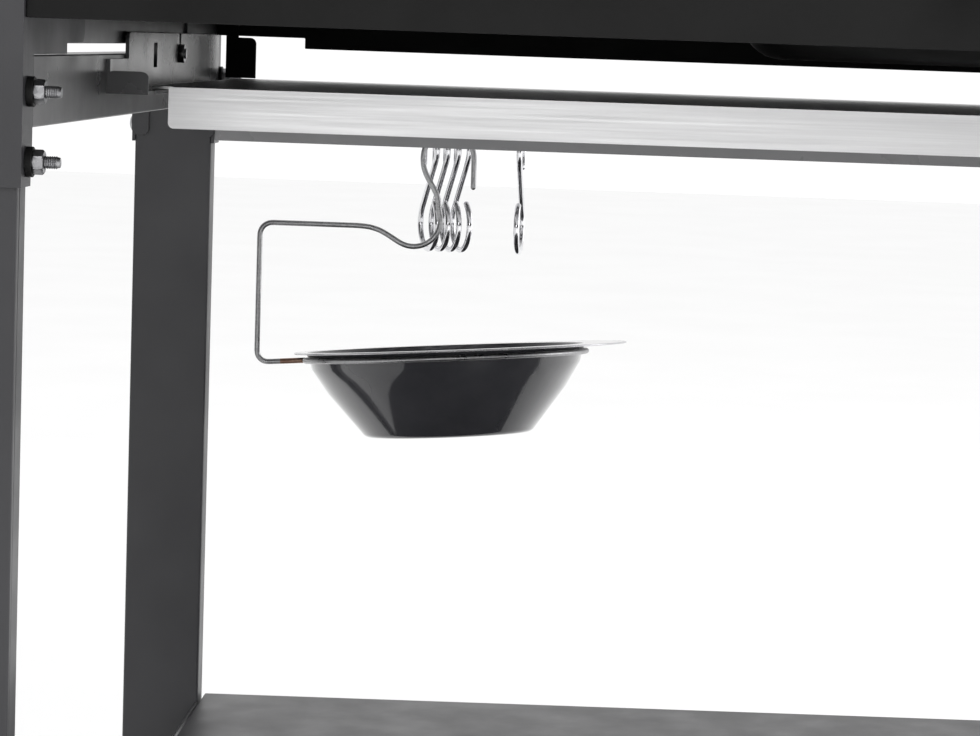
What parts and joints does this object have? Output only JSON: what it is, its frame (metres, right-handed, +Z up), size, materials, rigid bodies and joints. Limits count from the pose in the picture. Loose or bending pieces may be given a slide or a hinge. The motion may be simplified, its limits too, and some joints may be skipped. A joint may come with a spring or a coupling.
{
  "type": "kettle charcoal grill",
  "caption": "Kettle charcoal grill set in a four-legged steel cart with a slide-out stainless shelf, hook rod, S hooks and a hanging grease bowl.",
  "frame": {"origin": "on the floor, under the middle of the outer box", "axes": "+Z up, +X to the wheeled side, +Y towards the user's side, where the hook rod is"},
  "size_m": [1.0452, 0.8038, 1.1254],
  "materials": {
    "leg_paint": "fine-textured dark grey powder coat",
    "zinc": "zinc plated",
    "grey_paint": "satin grey",
    "black_paint": "satin black",
    "stainless": "fine brushed stainless steel",
    "chrome": "polished",
    "wire_steel": "satin drawn wire",
    "enamel": "glossy black enamel",
    "black_plastic": "moulded, fine grain",
    "tyre_rubber": "matt rubber"
  },
  "bodies": {
    "cart": {"leg_front_left": "leg_paint", "leg_front_right": "leg_paint", "leg_rear_left": "leg_paint", "leg_rear_right": "leg_paint", "corner_front_left": "leg_paint", "corner_front_right": "leg_paint", "corner_rear_left": "leg_paint", "corner_rear_right": "leg_paint", "leg_bolts": "zinc", "leg_washers": "black_paint", "leg_nuts": "zinc", "side_beam_left": "grey_paint", "side_beam_right": "grey_paint", "side_panel_left": "grey_paint", "side_panel_right": "grey_paint", "front_apron": "black_paint", "rear_apron": "black_paint", "rear_rail": "black_paint", "rear_crossbar": "grey_paint", "work_top": "black_paint", "kettle_collar": "leg_paint", "shelf_hanger_left": "grey_paint", "shelf_hanger_right": "grey_paint", "hanger_studs": "zinc", "shelf_retainers": "black_paint", "hook_rod": "chrome", "rod_brackets": "black_paint", "hanger_peg": "zinc", "kettle_bowl": "enamel", "kettle_lugs": "leg_paint", "sweeper_bush": "zinc", "ash_pan": "black_paint", "pan_rods": "zinc", "bottom_shelf": "leg_paint", "low_rails": "leg_paint", "foot_front": "black_plastic", "foot_rear": "black_plastic", "wheel_axle": "zinc", "axle_caps": "black_plastic"},
    "shelf": {"stainless_shelf": "stainless"},
    "hook_1": {"s_hook_1": "chrome"},
    "hook_2": {"s_hook_2": "chrome"},
    "hook_3": {"s_hook_3": "chrome"},
    "hook_4": {"s_hook_4": "chrome"},
    "hook_5": {"s_hook_5": "chrome"},
    "hanger": {"bowl_hanger": "wire_steel"},
    "grease": {"grease_bowl": "enamel"},
    "coal": {"charcoal_grate": "wire_steel"},
    "cooking": {"cooking_grate": "chrome"},
    "sweeper": {"ash_sweeper": "stainless", "lever_knob": "black_plastic"},
    "lid": {"kettle_lid": "enamel", "damper_rivet": "zinc", "handle_bracket": "stainless", "handle_grip": "black_plastic"},
    "damper": {"lid_damper": "stainless"},
    "front_wheel": {"wheel_front": "black_plastic", "tyre_front": "tyre_rubber"},
    "rear_wheel": {"wheel_rear": "black_plastic", "tyre_rear": "tyre_rubber"}
  },
  "joints": [
    {"name": "shelf_slide", "type": "slide", "parent": "cart", "child": "shelf", "axis": [0, 1, 0], "range_m": [0, 0.22]},
    {"name": "hook_1_swing", "type": "hinge", "parent": "cart", "child": "hook_1", "pos_m": [-0.3259, 0.3164, 0.5927], "axis": [1, 0, 0], "range_deg": [0, 20]},
    {"name": "hook_2_swing", "type": "hinge", "parent": "cart", "child": "hook_2", "pos_m": [-0.3187, 0.3164, 0.5927], "axis": [1, 0, 0], "range_deg": [0, 20]},
    {"name": "hook_3_swing", "type": "hinge", "parent": "cart", "child": "hook_3", "pos_m": [-0.3115, 0.3164, 0.5927], "axis": [1, 0, 0], "range_deg": [0, 20]},
    {"name": "hook_4_swing", "type": "hinge", "parent": "cart", "child": "hook_4", "pos_m": [-0.3043, 0.3164, 0.5927], "axis": [1, 0, 0], "range_deg": [0, 20]},
    {"name": "hook_5_swing", "type": "hinge", "parent": "cart", "child": "hook_5", "pos_m": [-0.265, 0.3164, 0.5927], "axis": [1, 0, 0], "range_deg": [0, 20]},
    {"name": "hanger_swing", "type": "hinge", "parent": "cart", "child": "hanger", "pos_m": [-0.3124, 0.2911, 0.5919], "axis": [0, 1, 0], "range_deg": [-6, 6]},
    {"name": "grease_bowl_lift", "type": "slide", "parent": "hanger", "child": "grease", "axis": [-0.0695, 0.0785, 0.9945], "range_m": [0, 0.04]},
    {"name": "charcoal_grate_lift", "type": "slide", "parent": "cart", "child": "coal", "axis": [0, 0, 1], "range_m": [0, 0.05]},
    {"name": "cooking_grate_lift", "type": "slide", "parent": "cart", "child": "cooking", "axis": [0, 0, 1], "range_m": [0, 0.04]},
    {"name": "sweeper_turn", "type": "hinge", "parent": "cart", "child": "sweeper", "pos_m": [-0.0224, -0.0356, 0.70152], "axis": [0, 0, 1], "range_deg": [-16, 16]},
    {"name": "lid_lift", "type": "slide", "parent": "cart", "child": "lid", "axis": [0, 0, 1], "range_m": [0, 0.35]},
    {"name": "damper_turn", "type": "hinge", "parent": "lid", "child": "damper", "pos_m": [-0.0224, -0.1606, 1.05126], "axis": [0, -0.302, 0.9533], "range_deg": [0, 45]},
    {"name": "front_wheel_spin", "type": "hinge", "parent": "cart", "child": "front_wheel", "pos_m": [0.4476, -0.0356, 0.075], "axis": [0, 1, 0], "continuous": true},
    {"name": "rear_wheel_spin", "type": "hinge", "parent": "cart", "child": "rear_wheel", "pos_m": [0.4476, -0.0356, 0.075], "axis": [0, 1, 0], "continuous": true}
  ],
  "couplings": [
    {"joint": "hook_2_swing", "follows": "hook_1_swing", "ratio": 1},
    {"joint": "hook_3_swing", "follows": "hook_1_swing", "ratio": 1},
    {"joint": "hook_4_swing", "follows": "hook_1_swing", "ratio": 1}
  ]
}
